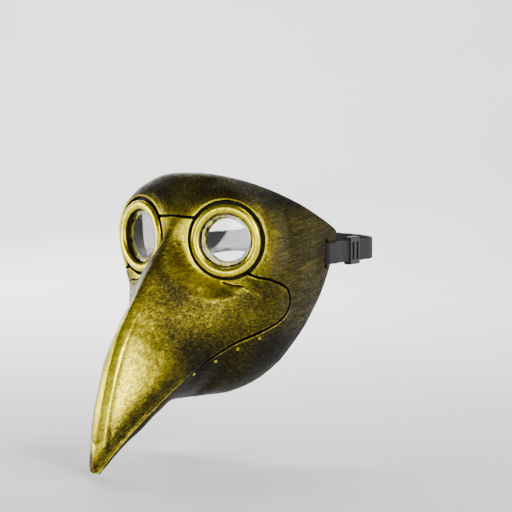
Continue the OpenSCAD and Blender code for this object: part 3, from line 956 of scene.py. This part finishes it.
def strap_path(side, end):
    """Middle of the webbing in plan: from the nape to the tab, in through the slot and back inside."""
    nape = [(RUN_X * cos(g), NAPE_Y + (STRAP_BACK - NAPE_Y) * sin(g))
            for g in np.radians(np.arange(90, 0, -3))]
    outside = [(RUN_X, y) for y in (NAPE_Y, 50, 38, 26)]
    outside += [(76.4, 20.5), (77.6, 15), (78.5, 9), (78.6, 4), (78.6, 0)]
    turn = [(78.35, SLOT_Y + 1.2), (77.6, SLOT_Y + 0.2), (76.4, SLOT_Y), (73.6, SLOT_Y),
            (72.4, SLOT_Y + 0.2), (71.6, SLOT_Y + 1.2)]
    inside = [(71.3, 0), (71.2, 6), (71.2, 12), (71.8, 17), (73.0, 22)]
    inside += [(RUN_X - LAYER, y) for y in (27, 34, *np.arange(42, end + 1, 5))]
    return [(x * side, y) for x, y in nape + outside + turn + inside]


def band(path, width, thickness, z):
    """Flat webbing along a plan path, with soft edges. Returns points, faces and weave coordinates."""
    path = curve(path, np.linspace(0, len(path) - 1, 6 * len(path)))
    s = np.concatenate([[0], np.cumsum(norm(np.diff(path, axis=0), axis=1))])
    even = np.linspace(0, s[-1], int(s[-1] / 0.8))
    path = np.stack([np.interp(even, s, path[:, k]) for k in (0, 1)], 1)
    tangent = np.gradient(path, axis=0)
    tangent /= norm(tangent, axis=1)[:, None]
    out = np.stack([tangent[:, 1], -tangent[:, 0]], 1)
    # Outline of the band's section as (outwards, up): two flat faces and two round edges.
    half, h = width / 2, thickness / 2
    flat, bends = np.linspace(-half + h, half - h, 17), np.radians([30, 60, 90, 120, 150])
    around = [(h, w) for w in flat]
    around += [(h * cos(g), half - h + h * sin(g)) for g in bends]
    around += [(-h, w) for w in flat[::-1]]
    around += [(-h * cos(g), -half + h - h * sin(g)) for g in bends]
    around = np.array(around)
    up = around[:, 1]
    rib = 0.045 * np.cos(2 * pi * up / RIB_W) * (np.abs(up) < half - h)
    off = around[:, 0] + rib * np.sign(around[:, 0])
    pts, weave = [], []
    for along, c, o in zip(even, path, out):
        frayed = 0.10 * sin(along / 2.3) * np.sign(up) * (np.abs(up) > half - h - 0.1)
        pts.append(np.stack([c[0] + o[0] * off, c[1] + o[1] * off, z + up + frayed], 1))
        weave.append(np.stack([np.full(len(around), along), up, off], 1) * MM)
    faces = tube(len(path), len(around)) + ends(len(path), len(around))
    return np.vstack(pts), faces, np.vstack(weave)


def strap():
    """The webbing in two halves that meet at the nape, the keeper and the sewing."""
    points, faces, weave = [], [], []
    size = 0
    for side, end in ((1, 62), (-1, 42)):
        pts, fs, wv = band(strap_path(side, end), STRAP_W, STRAP_T, STRAP_Z)
        if side > 0:
            fs = [f[::-1] for f in fs]
        faces += [tuple(i + size for i in f) for f in fs]
        points.append(pts)
        weave.append(wv)
        size += len(pts)
    make("strap_webbing", np.vstack(points), faces, "strap", "strap_band",
         webbing("strap_webbing"), 70, {"weave": np.vstack(weave)})
    carried("strap_keeper", moulded_plastic("keeper_plastic"), 0.25)
    stitches()


# The sewing's half length, half height and middle; a stitch's length, pitch, radius, rings and sides.
SEWN_Y, SEWN_Z, SEWN_MID = 5, 6.2, 34
STITCH_LEN, PITCH, STITCH_R, RINGS, SIDES = 2.1, 2.5, 0.27, 9, 8


def stitch(centre, along, face):
    """One stitch, with its ends sunk into the webbing."""
    across, rings = np.cross(along, [1, 0, 0]), []
    for w in np.linspace(-1, 1, RINGS):
        r = STITCH_R * sqrt(max(0.04, 1 - abs(w) ** 3))
        mid = centre + along * w * STITCH_LEN / 2 + [-face * 0.28 * w**4, 0, 0]
        rings += [mid + r * (cos(g) * np.array([1, 0, 0]) + sin(g) * across) for g in turns(SIDES)]
    return rings


def stitches():
    """Box and cross of sewn thread on the doubled run, on both faces."""
    corner = [(-SEWN_Y, -SEWN_Z), (SEWN_Y, -SEWN_Z), (SEWN_Y, SEWN_Z), (-SEWN_Y, SEWN_Z)]
    lines = [(corner[i], corner[(i + 1) % 4]) for i in range(4)]
    lines += [(corner[0], corner[2]), (corner[1], corner[3])]
    pts, faces = [], []
    for face in (-1, 1):
        x = -RUN_X + LAYER / 2 + face * (LAYER / 2 + STRAP_T / 2 + 0.12)
        for (y0, z0), (y1, z1) in lines:
            run = hypot(y1 - y0, z1 - z0)
            count = max(3, round(run / PITCH))
            for k in range(count):
                mid = (k + 0.5) / count
                centre = np.array([x, SEWN_MID + y0 + (y1 - y0) * mid, STRAP_Z + z0 + (z1 - z0) * mid])
                shape = (RINGS, SIDES, len(pts))
                faces += tube(*shape) + ends(*shape)
                pts += stitch(centre, np.array([0, (y1 - y0) / run, (z1 - z0) / run]), face)
    make("strap_thread", np.array(pts), faces, "strap", "strap_stitching",
         thread("bonded_thread"), 60)


def vent_rims(steps=28, sides=8):
    """The raised burr of paint round each breathing hole."""
    pts, faces = [], []
    q = np.array(VENTS, float)
    t, a = q[:, 0], np.radians(q[:, 1])
    spots, normals = surface(t, a), normal(t, a)
    lift = bank_height(t, *distances(t, a, spots)) + shell_wave(spots)
    spots = spots + normals * lift[:, None]
    for side in (1, -1):
        for c, n in zip(spots * [side, 1, 1], normals * [side, 1, 1]):
            e = np.cross(n, [0, 0, 1.0])
            e /= norm(e)
            f = np.cross(n, e)
            faces += tube(steps, sides, len(pts), closed=True)
            for g in turns(steps):
                for k in turns(sides):
                    r, up = VENT_R + 0.2 + 0.26 * cos(k), 0.05 + 0.24 * sin(k)
                    pts.append(c + e * r * cos(g) + f * r * sin(g) + n * up)
    make("vent_rims", np.array(pts), faces, "mask", None, ring_gold("vent_rim_gold"), 60,
         {"tone": np.full(len(pts), 1.0), "chip": np.full(len(pts), 0.2)})


# ---- camera, floor and light

# The camera, in metres, degrees and millimetres of lens, and its own directions.
AIM = Vector((0.0487, -0.0659, -0.0109))
AZIMUTH, ELEVATION, DISTANCE, LENS_MM = 35.0, 4.76, 2.2, 187.2
az, el = radians(AZIMUTH), radians(ELEVATION)
BACK = Vector((sin(az) * cos(el), -cos(az) * cos(el), sin(el)))
RIGHT = Vector((cos(az), sin(az), 0))
UP = BACK.cross(RIGHT)


def camera():
    cam = linked("camera", bpy.data.cameras.new("camera"))
    cam.data.lens, cam.data.sensor_width = LENS_MM, 36
    cam.location = AIM + BACK * DISTANCE
    cam.rotation_mode = "QUATERNION"
    cam.rotation_quaternion = (-BACK).to_track_quat("-Z", "Y")
    cam.data.clip_start, cam.data.clip_end = 0.05, 20
    bpy.context.scene.camera = cam


def softbox(name, right, up, back, width, height, power, aim=AIM, roll_deg=0.0):
    """Area light placed from the camera's point of view, in metres from the aim point."""
    lamp = bpy.data.lights.new(name, "AREA")
    lamp.shape, lamp.size, lamp.size_y = "RECTANGLE", width, height
    lamp.energy = power
    obj = linked(name, lamp)
    obj.location = AIM + RIGHT * right + UP * up + BACK * back
    obj.rotation_mode = "QUATERNION"
    turn = (aim - obj.location).to_track_quat("-Z", "Y")
    obj.rotation_quaternion = turn @ Matrix.Rotation(radians(roll_deg), 3, "Z").to_quaternion()


def floor_sweep(front=-4.0, bend=1.2, rise=1.6, top=5, half=5):
    """Pale floor under the mask that curves up into a wall, in metres."""
    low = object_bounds()[0].z - 0.002
    profile = [(front, 0)] + [(x, 0) for x in np.linspace(-1.0, bend, 6)]
    profile += [(bend + rise * sin(g), rise * (1 - cos(g)))
                for g in np.radians(np.arange(10, 91, 10))]
    pts, faces = [], []
    for away, z in profile + [(bend + rise, top)]:
        for w in (-half, 0, half):
            q = -BACK.xy.normalized() * away + RIGHT.xy * w
            pts.append((q.x, q.y, low + z))
    for i in range(len(profile)):
        faces += [(i * 3 + j, i * 3 + j + 1, (i + 1) * 3 + j + 1, (i + 1) * 3 + j) for j in range(2)]
    mesh = bpy.data.meshes.new("floor_sweep")
    mesh.from_pydata(pts, [], faces)
    mesh.polygons.foreach_set("use_smooth", [True] * len(mesh.polygons))
    mesh.materials.append(pale_floor())
    linked("floor_sweep", mesh)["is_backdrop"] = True


def studio():
    """Floor, dim surroundings, key light, reflected cards and a light on the wall."""
    floor_sweep()
    world = bpy.data.worlds.new("studio")
    bpy.context.scene.world = world
    world.use_nodes = True
    sky = world.node_tree.nodes["Background"].inputs
    sky["Color"].default_value, sky["Strength"].default_value = (0.97, 0.98, 1.0, 1), 0.13
    softbox("key", 0.67, 0.35, 1.40, 0.44, 0.8, 29)
    softbox("left_card", -0.674, -0.178, 1.328, 0.31, 0.60, 7.5, roll_deg=-36)
    softbox("side_card", -1.493, 0.12, -0.144, 0.80, 0.9, 18, roll_deg=8)
    softbox("back_card", 1.40, 0.3, -0.45, 0.5, 0.9, 4)
    softbox("top_card", 0.68, 1.30, -0.15, 0.7, 0.5, 11)
    softbox("rear_fill", -0.5, 0.6, -1.40, 0.9, 0.9, 14)
    softbox("backdrop", -0.2, 1.5, -1.0, 1.0, 1.0, 75, aim=AIM - BACK * 2.6 + UP * 0.1)


moulded()
goggles()
vent_rims()
pads()
strap()
camera()
studio()
